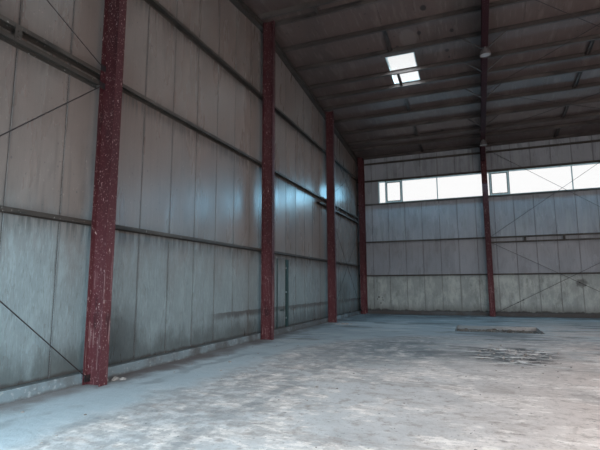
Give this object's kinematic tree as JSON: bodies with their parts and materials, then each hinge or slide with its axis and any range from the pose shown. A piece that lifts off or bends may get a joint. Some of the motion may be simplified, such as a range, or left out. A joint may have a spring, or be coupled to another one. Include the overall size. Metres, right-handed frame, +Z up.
{
  "type": "steel factory hall",
  "caption": "Single-storey steel factory hall with a low pitched roof, strip windows under the eaves and a hinged side door.",
  "frame": {"origin": "centre of the footprint at ground level, on the underside of the floor slab", "axes": "+X along the ridge, away from the gable wall with the door; +Y across the hall, to the long wall seen in the picture; +Z up"},
  "size_m": [37.192, 24.852, 9.8976],
  "materials": {
    "concrete": "dusty cast concrete",
    "primer_red": "matt red-brown primer",
    "rail_paint": "matt grey-green primer",
    "rod_paint": "matt primer",
    "wall_panel": "coated sheet, slightly glossy",
    "roof_panel": "coated sheet, matt",
    "trim_sheet": "coated sheet",
    "window_white": "white, slightly glossy",
    "window_glass": "clear",
    "skylight_pane": "opal",
    "door_green": "dark green paint",
    "door_sheet": "coated sheet",
    "lamp_shell": "spun sheet"
  },
  "bodies": {
    "hall": {"floor_slab": "concrete", "side_kerbs": "concrete", "end_kerbs": "concrete", "corner_columns": "primer_red", "frame_columns": "primer_red", "rafters_back": "primer_red", "rafters_front": "primer_red", "gable_posts": "primer_red", "gable_beams": "rail_paint", "side_rails": "rail_paint", "gable_rails": "rail_paint", "side_struts": "rail_paint", "gable_struts": "rail_paint", "purlins_back": "rail_paint", "purlins_front": "rail_paint", "sag_struts": "rail_paint", "fly_braces": "rail_paint", "roof_rods": "rod_paint", "side_rods": "rod_paint", "gable_rods": "rod_paint", "back_wall_lower": "wall_panel", "back_wall_upper": "wall_panel", "front_wall_lower": "wall_panel", "front_wall_upper": "wall_panel", "side_wall_piers": "wall_panel", "left_gable_back": "wall_panel", "left_gable_front": "wall_panel", "left_gable_over_door": "wall_panel", "right_gable_wall": "wall_panel", "roof_back": "roof_panel", "roof_front": "roof_panel", "ridge_cap": "trim_sheet", "eave_trims": "trim_sheet", "verge_trims": "trim_sheet", "skylight_frames": "window_white", "skylight_panes": "skylight_pane", "window_frames": "window_white", "window_sashes": "window_white", "window_glass": "window_glass", "door_frame": "door_green", "high_bay_lamps": "lamp_shell"},
    "door": {"door_leaf": "door_sheet", "door_bolt": "door_green"}
  },
  "joints": [
    {"name": "door_hinge", "type": "hinge", "parent": "hall", "child": "door", "pos_m": [-18.325, 1.997, 1.4], "axis": [0, 0, 1], "range_deg": [0, 110]}
  ]
}
